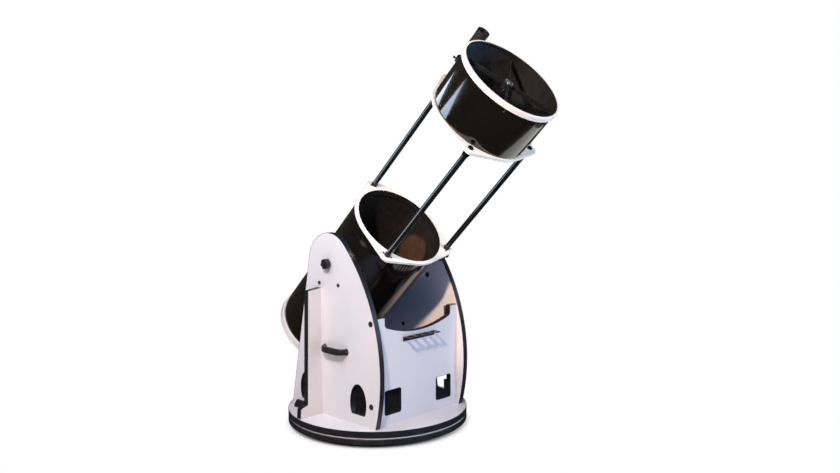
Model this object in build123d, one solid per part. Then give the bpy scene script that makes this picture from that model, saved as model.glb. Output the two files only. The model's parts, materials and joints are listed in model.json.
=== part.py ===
from build123d import *
import os
from math import sin, cos, sqrt, radians, degrees, atan2, acos

os.makedirs("parts", exist_ok=True)

# Telescope frame: s runs along the optical axis from the altitude pivot.
ALTITUDE = 44.2
PIVOT_Y = 13.0
PIVOT_Z = 802.0

# Ground stack and rocker box
BASE_R = 437.0
FOOT_H = 18.0
FOOT_R = 32.0
FOOT_PCR = 375.0
GROUND_T = 25.0
GROUND_TOP = FOOT_H + GROUND_T
TRACK_H = 5.0
PAD_GAP = 0.05
BASE_TOP = 80.0
BASE_T = 29.0
BASE_UNDER = BASE_TOP - BASE_T
BAND = 2.0
BOARD_T = 26.0
BOARD_OUT = 292.0
BOARD_IN = BOARD_OUT - BOARD_T
HEAD_R = 143.0
FRONT_ARC_R = 845.0
FRONT_TANGENT = 135.8
REAR_FOOT_Y = 302.0
AZ_BOLT_R = 6.0
RUN_CLEAR = 0.05

# Hand cut-outs in the side boards
ARCH_Y = 181.0
ARCH_HALF = 53.0
ARCH_RISE = 88.0
ARCH_CENTRE = 178.0
ARCH_FOOT = 128.0
ARCH_CORNER = 8.0

# Front board
FRONT_Y = -282.0
HORN_TOP = 577.0
NOTCH_HALF = 217.0
NOTCH_BOTTOM = 491.0
NOTCH_R = 592.0
WINDOW_IN = 118.0
WINDOW_OUT = 221.0
WINDOW_LOW = 127.0
WINDOW_HIGH = 239.0

# Eyepiece rack
RACK_TOP = 472.0
RACK_HALF = 104.0
RACK_DEPTH = 46.0
RACK_DROP = 22.0
RACK_T = 3.0
RACK_HOLE_R = 16.0
RACK_PITCH = 49.0
RACK_SCREW_X = 80.0
RACK_SCREW_Z = 460.0
RACK_SCREW_R = 2.5

# Side ribs
RIB_Y = 74.5
RIB_TOP = 684.0
RIB_FALL = 9.0
RIB_WAIST = 379.0
RIB_FOOT = 128.0
RIB_REACH = 423.0

# Carry handles
HANDLE_Z = 404.0
HANDLE_FRONT = -105.0
HANDLE_REAR = 47.0
HANDLE_REACH = 40.0

# Altitude bearings
TRUNNION_R = 55.0
TRUNNION_FLANGE_R = 80.0
CRADLE_IN = 240.0
CRADLE_HALF = 82.0
CRADLE_LOW = 690.0
CRADLE_HIGH = 786.0
PAD_T = 3.0
SHAFT_R = 6.0
CRADLE_SCREW_Y = 67.0
CRADLE_SCREW_Z = 707.0

# Tubes and rings
TUBE_R = 228.0
TUBE_WALL = 2.0
TUBE_IN = TUBE_R - TUBE_WALL
OPENING_R = 220.0
RING_R = 236.0
RING_T = 12.0
LOWER_TOP = 245.0
REAR_END = -575.0
REAR_FRONT = -540.0
UPPER_TOP = 925.0
UPPER_UNDER = UPPER_TOP - RING_T
CAGE_END = 1165.0
CAGE_BAND = 24.0
LIP = 8.0

# Sliding truss
ROD_ANGLES = (90.0, 220.0, 320.0)
ROD_PCR = 255.0
ROD_R = 12.5
LOBE_R = 33.0
ROD_LOW = 165.0
GUIDE_LOW = 172.0
GUIDE_R = 14.5
LOCK_S = 208.0
LOCK_SHAFT_R = 4.0
ROD_BOLT_R = 4.0
RING_SCREW_R = 2.5
RING_SCREW_TURN = 4.6

# Primary mirror and cell
MIRROR_R = 203.0
MIRROR_EDGE = 42.0
MIRROR_CURVE = 3600.0
CELL_BACK = -562.0
CELL_T = 16.0
PLATE_BACK = -524.0
PLATE_T = 12.0
COLLIM_PCR = 150.0
COLLIM_ANGLES = (30.0, 150.0, 270.0)

# Secondary mirror, spider and focuser
FOCUS_S = 992.0
FOCUS_ANGLE = 34.0
SPIDER_S = 1128.0
VANE_ANGLES = (45.0, 135.0, 225.0, 315.0)
VANE_H = 20.0
VANE_T = 1.6
SECONDARY_R = 44.0
DRAW_BORE_R = 25.45
DRAW_R = 28.0
FOCUS_BASE = 240.0
FOCUS_TOP = 292.0
DRAW_IN = 206.0
DRAW_OUT = 318.0
DRUM_R = 6.0

HUB_R = 22.0
TILT_SCREW_PCR = 16.0
TILT_SCREW_R = 2.0
FOCUS_DRUM_Z = 266.0

# Finder
FINDER_ANGLE = 85.5
FINDER_PCR = 268.0
FINDER_END = 1187.0
FINDER_SHOE_S = 1018.0
FINDER_R = 23.0
FINDER_HOOD_R = 28.0
FINDER_HOOD = 78.0

OTA = Plane(
    origin=(0, PIVOT_Y, PIVOT_Z),
    x_dir=(1, 0, 0),
    z_dir=(0, -cos(radians(ALTITUDE)), sin(radians(ALTITUDE))),
)


def polar(radius, angle):
    return (radius * cos(radians(angle)), radius * sin(radians(angle)))


def disc(radius, low, high, at=(0, 0)):
    return Pos(at[0], at[1], (low + high) / 2) * Cylinder(radius, high - low)


def tube(outer, inner, low, high, at=(0, 0)):
    return disc(outer, low, high, at) - disc(inner, low - 1, high + 1, at)


def group(shapes):
    solids = []
    for shape in shapes:
        solids.extend(shape.solids())
    return Compound(children=solids)


def save(name, shape, plane=None):
    placed = plane.location * shape if plane else shape
    export_step(placed, f"parts/{name}.step")


def both_sides(shape):
    return [shape, mirror(shape, about=Plane.YZ)]


def lobed_knob(radius, low, high, lobes=8, scallop=4.0):
    body = disc(radius, low, high)
    for k in range(lobes):
        place = polar(radius + scallop * 0.45, 360 / lobes * k)
        body -= disc(scallop, low - 1, high + 1, place)
    rims = body.edges().group_by(Axis.Z)[-1]
    return chamfer(rims, scallop * 0.2)


# ---------------------------------------------------------------- ground


def ground_board():
    board = disc(BASE_R, FOOT_H, GROUND_TOP)
    board = chamfer(board.edges(), 2.0)
    return board - disc(AZ_BOLT_R, FOOT_H - 1, GROUND_TOP + 1)


def ground_feet():
    feet = []
    for k in range(3):
        foot = disc(FOOT_R, 0, FOOT_H, polar(FOOT_PCR, 90 + 120 * k))
        feet.append(chamfer(foot.edges().group_by(Axis.Z)[0], 3.0))
    return group(feet)


def azimuth_bolt():
    shank = disc(AZ_BOLT_R, FOOT_H, BASE_TOP + 16)
    head = disc(11.0, FOOT_H - 7, FOOT_H)
    washer_seat = disc(16.0, BASE_TOP + 0.2, BASE_TOP + 2.2)
    return shank + head + washer_seat


def azimuth_nut():
    low = BASE_TOP + 2.2
    nut = extrude(Pos(0, 0, low) * RegularPolygon(11.0, 6), amount=10)
    return nut - disc(AZ_BOLT_R, low - 1, low + 12)


def bearing_track():
    return tube(432, 392, GROUND_TOP, GROUND_TOP + TRACK_H)


# ---------------------------------------------------------------- rocker


def base_board():
    core = disc(BASE_R - BAND, BASE_UNDER, BASE_TOP)
    return core - disc(AZ_BOLT_R + RUN_CLEAR, BASE_UNDER - 1, BASE_TOP + 1)


def base_edge():
    band = tube(BASE_R, BASE_R - BAND, BASE_UNDER, BASE_TOP)
    outer = [e for e in band.edges().filter_by(GeomType.CIRCLE) if e.radius > BASE_R - 1]
    return chamfer(outer, 0.8)


def azimuth_pads():
    low = GROUND_TOP + TRACK_H + PAD_GAP
    pads = []
    for k in range(3):
        block = Rot(0, 0, 90 + 120 * k) * Pos(412, 0, (low + BASE_UNDER) / 2)
        pads.append(block * Box(30, 60, BASE_UNDER - low))
    return group(pads)


def side_outline():
    pivot = Vector(PIVOT_Y, PIVOT_Z)
    foot = Vector(REAR_FOOT_Y, BASE_TOP)
    reach = foot - pivot
    rear_angle = degrees(atan2(reach.Y, reach.X)) + degrees(acos(HEAD_R / reach.length))
    rear = pivot + Vector(*polar(HEAD_R, rear_angle))
    crown = pivot + Vector(*polar(HEAD_R, (rear_angle + FRONT_TANGENT) / 2))
    front = pivot + Vector(*polar(HEAD_R, FRONT_TANGENT))
    centre = pivot - Vector(*polar(FRONT_ARC_R - HEAD_R, FRONT_TANGENT))
    bottom_y = centre.X - sqrt(FRONT_ARC_R**2 - (centre.Y - BASE_TOP) ** 2)
    bottom = Vector(bottom_y, BASE_TOP)
    low_angle = degrees(atan2(BASE_TOP - centre.Y, bottom_y - centre.X)) % 360
    belly = centre + Vector(*polar(FRONT_ARC_R, (FRONT_TANGENT + low_angle) / 2))
    edges = [
        Line(foot, rear),
        ThreePointArc(rear, crown, front),
        ThreePointArc(front, belly, bottom),
        Line(bottom, foot),
    ]
    return make_face(edges)


def arch_holes(grow):
    low = ARCH_FOOT - grow
    high = ARCH_CENTRE + ARCH_RISE + grow
    holes = Sketch()
    for centre in (-ARCH_Y, ARCH_Y):
        arch = Pos(centre, ARCH_CENTRE) * Ellipse(ARCH_HALF + grow, ARCH_RISE + grow)
        arch &= Pos(centre, (low + high) / 2) * Rectangle(4 * ARCH_HALF, high - low)
        holes += fillet(arch.vertices().group_by(Axis.Y)[0], ARCH_CORNER + grow)
    return holes


def side_holes():
    holes = Pos(PIVOT_Y, PIVOT_Z) * Circle(SHAFT_R + 2)
    for side in (-1, 1):
        holes += Pos(PIVOT_Y + side * CRADLE_SCREW_Y, CRADLE_SCREW_Z) * Circle(3.1)
    return holes


def side_inside():
    """The board inside its edge band; the edge that stands on the base has none."""
    inside = offset(side_outline(), -BAND, kind=Kind.INTERSECTION)
    strip = inside & Pos(0, BASE_TOP + 2 * BAND) * Rectangle(4 * REAR_FOOT_Y, 2 * BAND)
    return inside + Pos(0, -BAND) * strip


def side_core():
    return side_inside() - arch_holes(BAND) - side_holes()


def side_band():
    return (side_outline() - side_inside()) + (arch_holes(BAND) - arch_holes(0))


def side_board():
    return extrude(Plane.YZ.offset(BOARD_IN) * side_core(), amount=BOARD_T)


def side_edge():
    return extrude(Plane.YZ.offset(BOARD_IN) * side_band(), amount=BOARD_T)


def front_outline():
    half = BOARD_IN
    floor_edge = NOTCH_BOTTOM + NOTCH_R - sqrt(NOTCH_R**2 - NOTCH_HALF**2)
    edges = [
        Line((-half, BASE_TOP), (-half, HORN_TOP)),
        Line((-half, HORN_TOP), (-NOTCH_HALF, HORN_TOP)),
        Line((-NOTCH_HALF, HORN_TOP), (-NOTCH_HALF, floor_edge)),
        ThreePointArc((-NOTCH_HALF, floor_edge), (0, NOTCH_BOTTOM), (NOTCH_HALF, floor_edge)),
        Line((NOTCH_HALF, floor_edge), (NOTCH_HALF, HORN_TOP)),
        Line((NOTCH_HALF, HORN_TOP), (half, HORN_TOP)),
        Line((half, HORN_TOP), (half, BASE_TOP)),
        Line((half, BASE_TOP), (-half, BASE_TOP)),
    ]
    face = make_face(edges)
    low = [v for v in face.vertices() if abs(abs(v.X) - NOTCH_HALF) < 1 and v.Y < HORN_TOP - 5]
    face = fillet(low, 20.0)
    high = [v for v in face.vertices() if abs(abs(v.X) - NOTCH_HALF) < 1 and v.Y > HORN_TOP - 5]
    return fillet(high, 6.0)


def windows(grow):
    width = WINDOW_OUT - WINDOW_IN + 2 * grow
    height = WINDOW_HIGH - WINDOW_LOW + 2 * grow
    middle = (WINDOW_OUT + WINDOW_IN) / 2
    holes = Sketch()
    for side in (-1, 1):
        place = Pos(side * middle, (WINDOW_LOW + WINDOW_HIGH) / 2)
        holes += place * RectangleRounded(width, height, 10 + grow)
    return holes


def front_bands():
    """Edge band over the horns and the notch and in the windows; the joints have none."""
    outer = front_outline()
    rim = outer - offset(outer, -BAND, kind=Kind.INTERSECTION)
    rim &= Pos(0, HORN_TOP) * Rectangle(2 * (BOARD_IN - BAND), 2 * (HORN_TOP - NOTCH_BOTTOM) + 20)
    return rim + (windows(BAND) - windows(0))


def front_board():
    face = front_outline() - windows(0) - front_bands()
    board = extrude(Plane.XZ.offset(-FRONT_Y) * face, amount=-BOARD_T)
    for side in (-1, 1):
        place = Pos(side * RACK_SCREW_X, FRONT_Y, RACK_SCREW_Z)
        board -= place * Rot(90, 0, 0) * disc(RACK_SCREW_R, -10, 5)
    return board


def front_edge():
    return extrude(Plane.XZ.offset(-FRONT_Y) * front_bands(), amount=-BOARD_T)


def rib_outline(inset=0.0):
    """Tall stiffener with a short foot; only the free edges are inset."""
    hidden = 5.0 if inset else 0.0
    outline = make_face(Polyline(
        (BOARD_OUT - hidden, BASE_TOP - hidden),
        (BOARD_OUT - hidden, RIB_TOP - inset),
        (RIB_WAIST - 12 - inset, RIB_TOP - RIB_FALL - inset),
        (RIB_WAIST - inset, RIB_FOOT + 11 - inset),
        (RIB_REACH - 4 - inset, RIB_FOOT - inset),
        (RIB_REACH - inset, BASE_TOP - hidden),
        close=True,
    ))
    outer = [v for v in outline.vertices() if v.X > RIB_WAIST + 10 and v.Y > RIB_FOOT - 10]
    return fillet(outer, 14.0 - inset)


def rib():
    face = rib_outline() & rib_outline(BAND)
    return extrude(Plane.XZ.offset(-RIB_Y) * face, amount=-BOARD_T)


def rib_band():
    face = rib_outline() - rib_outline(BAND)
    return extrude(Plane.XZ.offset(-RIB_Y) * face, amount=-BOARD_T)


def cover_cap(radius):
    cap = disc(radius, 0, 3.0)
    return fillet(cap.edges().group_by(Axis.Z)[-1], 1.8)


def cover_caps():
    caps = []
    joint = FRONT_Y + BOARD_T / 2
    for z in (556, 180):
        caps.append(Pos(BOARD_OUT, joint, z) * Rot(0, 90, 0) * cover_cap(13.0))
    for y, z, radius in ((-87, 701, 12.5), (87, 428, 10.5)):
        caps.append(Pos(BOARD_IN, y, z) * Rot(0, -90, 0) * cover_cap(radius))
    every = []
    for cap in caps:
        every.extend(both_sides(cap))
    return group(every)


def foot_bracket():
    """Moulded angle bracket between a side board's outer face and the base."""
    edges = Polyline((BOARD_OUT, BASE_TOP), (BOARD_OUT + 25, BASE_TOP), (BOARD_OUT + 25, BASE_TOP + 10),
                     (BOARD_OUT + 10, BASE_TOP + 32), (BOARD_OUT, BASE_TOP + 32), close=True)
    face = make_face(edges)
    rounded = [v for v in face.vertices() if v.X > BOARD_OUT + 1 and v.Y > BASE_TOP + 1]
    face = fillet(rounded, 4.0)
    return extrude(Plane.XZ.offset(-198) * face, amount=-60)


def corner_blocks():
    blocks = both_sides(foot_bracket())
    back = FRONT_Y + BOARD_T
    for z in (520, 150):
        edges = Polyline((BOARD_IN, back), (BOARD_IN - 44, back), (BOARD_IN - 44, back + 10),
                         (BOARD_IN - 10, back + 50), (BOARD_IN, back + 50), close=True)
        block = extrude(Pos(0, 0, z) * make_face(edges), amount=40)
        blocks.extend(both_sides(block))
    return group(blocks)


def cradle():
    low_half = CRADLE_HALF - 12
    outline = make_face(Polyline(
        (PIVOT_Y - CRADLE_HALF, CRADLE_HIGH),
        (PIVOT_Y - CRADLE_HALF, CRADLE_LOW + 16),
        (PIVOT_Y - low_half, CRADLE_LOW),
        (PIVOT_Y + low_half, CRADLE_LOW),
        (PIVOT_Y + CRADLE_HALF, CRADLE_LOW + 16),
        (PIVOT_Y + CRADLE_HALF, CRADLE_HIGH),
        close=True,
    ))
    outline = fillet(outline.vertices(), 8.0)
    seat = Pos(PIVOT_Y, PIVOT_Z) * Circle(TRUNNION_R + RUN_CLEAR + PAD_T)
    block = extrude(Plane.YZ.offset(CRADLE_IN) * (outline - seat), amount=BOARD_IN - CRADLE_IN)
    for side in (-1, 1):
        place = Pos(0, PIVOT_Y + side * CRADLE_SCREW_Y, CRADLE_SCREW_Z) * Rot(0, 90, 0)
        block -= place * disc(3.0, CRADLE_IN + 8, BOARD_IN + 1)
    return block


def cradle_pads():
    pads = []
    inner = TRUNNION_R + RUN_CLEAR
    for centre in (-45, -135):
        ring = Circle(inner + PAD_T) - Circle(inner)
        wedge = make_face(Polyline((0, 0), polar(90, centre - 14), polar(90, centre + 14), close=True))
        face = Pos(PIVOT_Y, PIVOT_Z) * (ring & wedge)
        pad = extrude(Plane.YZ.offset(CRADLE_IN + 2) * face, amount=BOARD_IN - CRADLE_IN - 4)
        pads.extend(both_sides(pad))
    return group(pads)


def hex_cap_screw(shank_r, shank, head_r, head):
    body = disc(shank_r, -shank, 0) + disc(head_r, 0, head)
    socket = extrude(Pos(0, 0, head * 0.45) * RegularPolygon(head_r * 0.5, 6), amount=head)
    return body - socket


def rocker_screws():
    screws = []
    for side in (-1, 1):
        screw = Rot(0, 90, 0) * hex_cap_screw(3.0, BOARD_T + 18, 8.0, 4.0)
        screws.extend(both_sides(Pos(BOARD_OUT, PIVOT_Y + side * CRADLE_SCREW_Y, CRADLE_SCREW_Z) * screw))
    for side in (-1, 1):
        screw = Rot(90, 0, 0) * (disc(RACK_SCREW_R, -12, 0) + disc(4.5, 0, 2.5))
        screws.append(Pos(side * RACK_SCREW_X, FRONT_Y - 2, RACK_SCREW_Z) * screw)
    return group(screws)


def carry_handle():
    reach = HANDLE_REACH
    path = Polyline(
        (BOARD_OUT, HANDLE_FRONT - 6),
        (BOARD_OUT + 10, HANDLE_FRONT - 6),
        (BOARD_OUT + reach, HANDLE_FRONT + 14),
        (BOARD_OUT + reach, HANDLE_REAR - 14),
        (BOARD_OUT + 10, HANDLE_REAR + 6),
        (BOARD_OUT, HANDLE_REAR + 6),
        (BOARD_OUT, HANDLE_REAR - 16),
        (BOARD_OUT + 7, HANDLE_REAR - 16),
        (BOARD_OUT + reach - 12, HANDLE_REAR - 26),
        (BOARD_OUT + reach - 12, HANDLE_FRONT + 26),
        (BOARD_OUT + 7, HANDLE_FRONT + 16),
        (BOARD_OUT, HANDLE_FRONT + 16),
        close=True,
    )
    bow = extrude(Pos(0, 0, HANDLE_Z - 13) * make_face(path), amount=26)
    return chamfer(bow.edges().filter_by(Axis.Z).sort_by(Axis.X)[-4:], 5.0)


def eyepiece_rack():
    middle = FRONT_Y - RACK_DEPTH / 2
    shelf = Pos(0, middle, RACK_TOP - RACK_T / 2) * Box(2 * RACK_HALF, RACK_DEPTH, RACK_T)
    shelf = fillet(shelf.edges().filter_by(Axis.Z).group_by(Axis.Y)[0], 6.0)
    flange = Pos(0, FRONT_Y - 1, RACK_TOP - RACK_DROP / 2) * Box(2 * RACK_HALF, 2, RACK_DROP)
    rack = shelf + flange
    for k in range(4):
        hole = (RACK_PITCH * (k - 1.5), middle)
        rack -= disc(RACK_HOLE_R, RACK_TOP - 2 * RACK_T, RACK_TOP + RACK_T, hole)
    for side in (-1, 1):
        screw = Pos(side * RACK_SCREW_X, FRONT_Y, RACK_SCREW_Z) * Rot(90, 0, 0)
        rack -= screw * disc(RACK_SCREW_R, -5, 5)
    return rack


# ---------------------------------------------------------------- lower tube


def lobed_plate(low, thick, opening):
    spread = degrees(acos((RING_R - LOBE_R) / ROD_PCR))
    outline = Circle(RING_R)
    for angle in ROD_ANGLES:
        centre = Vector(*polar(ROD_PCR, angle))
        corners = [
            Vector(*polar(RING_R, angle - spread)),
            centre + Vector(*polar(LOBE_R, angle - spread)),
            centre + Vector(*polar(LOBE_R, angle + spread)),
            Vector(*polar(RING_R, angle + spread)),
        ]
        web = make_face(Polyline(*corners, close=True))
        outline += web + Pos(centre.X, centre.Y) * Circle(LOBE_R)
    outline -= Circle(opening)
    return extrude(Pos(0, 0, low) * outline, amount=thick)


def lower_tube():
    return tube(TUBE_R, TUBE_IN, REAR_END + LIP, LOWER_TOP - RING_T)


def end_band(low, high, lip_low, lip_high, rim):
    body = tube(RING_R - 1, TUBE_R, low, high)
    body += tube(RING_R - 1, rim, lip_low, lip_high)
    outer = [e for e in body.edges().filter_by(GeomType.CIRCLE) if e.radius > RING_R - 2]
    return fillet(outer, 2.5)


def rear_ring():
    return end_band(REAR_END, REAR_FRONT, REAR_END, REAR_END + LIP, 212.0)


def lower_truss_ring():
    plate = lobed_plate(LOWER_TOP - RING_T, RING_T, OPENING_R)
    plate += tube(TUBE_IN, OPENING_R, LOWER_TOP - RING_T - 18, LOWER_TOP - RING_T)
    for angle in ROD_ANGLES:
        place = polar(ROD_PCR, angle)
        plate -= disc(GUIDE_R, LOWER_TOP - RING_T - 1, LOWER_TOP + 1, place)
        for turn in (-RING_SCREW_TURN, RING_SCREW_TURN):
            spot = polar(ROD_PCR, angle + turn)
            plate -= disc(RING_SCREW_R, LOWER_TOP - RING_T - 1, LOWER_TOP + 1, spot)
    return plate


def trunnion():
    flange = Rot(0, 90, 0) * disc(TRUNNION_FLANGE_R, 200, 236)
    flange -= disc(TUBE_R, -120, 120)
    boss = Rot(0, 90, 0) * disc(TRUNNION_R, 232, BOARD_IN - 4)
    body = flange + boss
    body -= Rot(0, 90, 0) * disc(SHAFT_R + RUN_CLEAR, 238, BOARD_IN)
    return body


def rod_guides():
    guides = []
    under = LOWER_TOP - RING_T
    for angle in ROD_ANGLES:
        place = polar(ROD_PCR, angle)
        turned = Rot(0, 0, angle)
        guide = disc(GUIDE_R, under, LOWER_TOP + 10, place)
        guide += disc(GUIDE_R + 6, GUIDE_LOW, under, place)
        guide += turned * Pos(ROD_PCR + 18, 0, LOCK_S) * Box(12, 22, 30)
        guide -= disc(ROD_R + RUN_CLEAR, GUIDE_LOW - 1, LOWER_TOP + 30, place)
        screw_way = Pos(0, 0, LOCK_S) * Rot(0, 90, 0) * disc(
            LOCK_SHAFT_R + RUN_CLEAR, ROD_PCR + 6, ROD_PCR + 40)
        guides.append(guide - turned * screw_way)
    return group(guides)


def ring_screws():
    screws = []
    for angle in ROD_ANGLES:
        for turn in (-RING_SCREW_TURN, RING_SCREW_TURN):
            spot = polar(ROD_PCR, angle + turn)
            screw = hex_cap_screw(RING_SCREW_R, RING_T - 1, 4.0, 2.4)
            screws.append(Pos(spot[0], spot[1], LOWER_TOP) * screw)
    return group(screws)


def rod_lock_knob(angle):
    knob = disc(LOCK_SHAFT_R, ROD_R + 1, 25) + disc(7.5, 24.2, 27)
    knob += lobed_knob(11, 27, 34, 8, 2.5)
    place = Rot(0, 0, angle) * Pos(ROD_PCR, 0, LOCK_S) * Rot(0, 90, 0)
    return place * knob


def tension_knob():
    shaft = disc(SHAFT_R, 242, BOARD_OUT + 8)
    collar = disc(16, BOARD_OUT + 1.5, BOARD_OUT + 8)
    face = BOARD_OUT + 30
    grip = lobed_knob(24, BOARD_OUT + 8, face, 6, 7.5)
    grip -= disc(10, face - 2, face + 1)
    grip += disc(7, face - 2, face + 1.5)
    return Rot(0, 90, 0) * (shaft + collar + grip)


def mirror_cell():
    cell = tube(TUBE_IN, 206, CELL_BACK, CELL_BACK + CELL_T)
    cell += tube(62, 40, CELL_BACK, CELL_BACK + CELL_T)
    for angle in COLLIM_ANGLES:
        arm = Rot(0, 0, angle) * Pos(135, 0, CELL_BACK + CELL_T / 2) * Box(152, 34, CELL_T)
        cell += arm
    cell = cell & disc(TUBE_IN, CELL_BACK, CELL_BACK + CELL_T)
    for angle in COLLIM_ANGLES:
        cell -= disc(4 + RUN_CLEAR, CELL_BACK - 1, CELL_BACK + CELL_T + 1, polar(COLLIM_PCR, angle))
        cell -= disc(3.0, CELL_BACK - 1, CELL_BACK + CELL_T + 1, polar(COLLIM_PCR, angle + 12))
    return cell


def mirror_plate():
    plate = disc(206, PLATE_BACK, PLATE_BACK + PLATE_T)
    for k in range(3):
        hole = polar(118, 90 + 120 * k)
        plate -= disc(52, PLATE_BACK - 1, PLATE_BACK + PLATE_T + 1, hole)
    plate -= disc(30, PLATE_BACK - 1, PLATE_BACK + PLATE_T + 1)
    for angle in COLLIM_ANGLES:
        hole = polar(COLLIM_PCR, angle)
        plate -= disc(4 + RUN_CLEAR, PLATE_BACK - 1, PLATE_BACK + PLATE_T + 1, hole)
    return plate


def primary_mirror():
    back = PLATE_BACK + PLATE_T
    front = back + MIRROR_EDGE
    glass = disc(MIRROR_R, back, front)
    centre = front + sqrt(MIRROR_CURVE**2 - MIRROR_R**2)
    glass -= Pos(0, 0, centre) * Sphere(MIRROR_CURVE)
    return glass


def mirror_clips():
    clips = []
    front = PLATE_BACK + PLATE_T + MIRROR_EDGE
    for k in range(3):
        post = Pos(MIRROR_R + 3, 0, (PLATE_BACK + PLATE_T + front + 5) / 2) * Box(
            4, 22, front + 5 - PLATE_BACK - PLATE_T)
        finger = Pos(MIRROR_R - 3, 0, front + 3) * Box(16, 22, 4)
        clips.append(Rot(0, 0, 90 + 120 * k) * (post + finger))
    return group(clips)


def collimation_springs():
    springs = []
    low = CELL_BACK + CELL_T
    high = PLATE_BACK
    wire = 1.6
    turns = 4
    for angle in COLLIM_ANGLES:
        pitch = (high - low - 2 * wire) / turns
        place = polar(COLLIM_PCR, angle)
        coil = Helix(pitch, pitch * turns, 8.0)
        section = Plane(origin=coil @ 0, z_dir=coil % 0) * Circle(wire)
        springs.append(Pos(place[0], place[1], low + wire + 0.05) * sweep(section, coil, is_frenet=True))
    return group(springs)


def collimation_knob(angle):
    shaft = disc(4.0, REAR_END - 12, PLATE_BACK + PLATE_T - 1)
    grip = lobed_knob(17, REAR_END - 26, REAR_END - 8, 6, 4.5)
    place = polar(COLLIM_PCR, angle)
    return Pos(place[0], place[1], 0) * (shaft + grip)


# ---------------------------------------------------------------- upper cage


def truss_rods():
    rods = []
    for angle in ROD_ANGLES:
        place = polar(ROD_PCR, angle)
        rod = disc(ROD_R, ROD_LOW, UPPER_UNDER, place)
        rods.append(rod - disc(ROD_BOLT_R, UPPER_UNDER - 30, UPPER_UNDER + 1, place))
    return group(rods)


def rod_collars():
    """Tapered collars under the upper ring, and the capped bolts that hold the rods to it."""
    pieces = []
    taper = 30.0
    for angle in ROD_ANGLES:
        place = polar(ROD_PCR, angle)
        at = Pos(place[0], place[1], UPPER_UNDER - taper / 2)
        collar = at * Cone(ROD_R + 2, ROD_R + 6.5, taper)
        pieces.append(collar - disc(ROD_R, UPPER_UNDER - 2 * taper, UPPER_UNDER + 1, place))
        cap = fillet(disc(13, UPPER_TOP, UPPER_TOP + 6, place).edges().group_by(Axis.Z)[-1], 3.0)
        pieces.append(cap + disc(ROD_BOLT_R, UPPER_UNDER - 22, UPPER_TOP + 1, place))
    return group(pieces)


def upper_truss_ring():
    plate = lobed_plate(UPPER_UNDER, RING_T, 222.0)
    plate += tube(TUBE_IN, 222.0, UPPER_TOP, UPPER_TOP + 14)
    for angle in ROD_ANGLES:
        place = polar(ROD_PCR, angle)
        plate -= disc(ROD_BOLT_R, UPPER_UNDER - 1, UPPER_TOP + 1, place)
    return plate


def focuser_plane():
    return Plane(
        origin=(0, 0, FOCUS_S),
        x_dir=(-sin(radians(FOCUS_ANGLE)), cos(radians(FOCUS_ANGLE)), 0),
        z_dir=(cos(radians(FOCUS_ANGLE)), sin(radians(FOCUS_ANGLE)), 0),
    )


def cage_tube():
    wall = tube(TUBE_R, TUBE_IN, UPPER_TOP, CAGE_END - LIP)
    wall -= focuser_plane().location * disc(31, 150, 260)
    for angle in VANE_ANGLES:
        for rise in (-5, 5):
            hole = Rot(0, 0, angle) * Pos(0, 0, SPIDER_S + rise) * Rot(0, 90, 0)
            wall -= hole * disc(2.0, 200, 240)
    return wall


def top_ring():
    return end_band(CAGE_END - CAGE_BAND, CAGE_END, CAGE_END - LIP, CAGE_END, 222.0)


def spider():
    low = SPIDER_S - VANE_H / 2
    hub = disc(HUB_R, low - 4, SPIDER_S + VANE_H / 2 + 2)
    frame = hub - disc(4.0, low - 6, SPIDER_S + VANE_H / 2 + 4)
    for angle in VANE_ANGLES:
        reach = TUBE_IN - HUB_R + 1
        vane = Pos(TUBE_IN - reach / 2, 0, SPIDER_S) * Box(reach, VANE_T, VANE_H)
        foot = Pos(TUBE_IN - 4, 0, SPIDER_S) * Box(7, 9, VANE_H)
        arm = Rot(0, 0, angle) * (vane + foot)
        for rise in (-5, 5):
            arm -= Rot(0, 0, angle) * Pos(0, 0, SPIDER_S + rise) * Rot(0, 90, 0) * disc(
                2.0, TUBE_IN - 6, TUBE_IN + 5)
        frame += arm
    for k in range(3):
        hole = polar(TILT_SCREW_PCR, 90 + 120 * k)
        frame -= disc(TILT_SCREW_R, low - 6, SPIDER_S + VANE_H, hole)
    return frame & disc(TUBE_IN, low - 6, SPIDER_S + VANE_H)


def cage_screws():
    screws = []
    for angle in VANE_ANGLES:
        for rise in (-5, 5):
            screw = disc(2.0, TUBE_IN - 5, TUBE_R + 1) + disc(3.2, TUBE_R + 0.1, TUBE_R + 2)
            screws.append(Rot(0, 0, angle) * Pos(0, 0, SPIDER_S + rise) * Rot(0, 90, 0) * screw)
    return group(screws)


def slanted_half(back):
    """Half space behind the 45 degree mirror plane, in the focuser frame."""
    size = 400.0
    block = Box(size, size, size)
    shift = back * sqrt(0.5) + size / 2 * sqrt(0.5)
    return Pos(0, shift, -shift) * Rot(45, 0, 0) * block


def secondary_mirror():
    column = Rot(90, 0, 0) * Cylinder(SECONDARY_R, 200)
    return (column & slanted_half(0)) - slanted_half(9.0)


def secondary_holder():
    top = SPIDER_S - VANE_H / 2 - 16 - FOCUS_S
    column = Pos(0, top - 100, 0) * Rot(90, 0, 0) * Cylinder(SECONDARY_R - 2, 200)
    holder = column & slanted_half(9.0)
    stem_top = SPIDER_S - VANE_H / 2 - 4 - FOCUS_S
    holder += Pos(0, (top + stem_top) / 2, 0) * Rot(90, 0, 0) * Cylinder(9, stem_top - top)
    return holder


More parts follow.
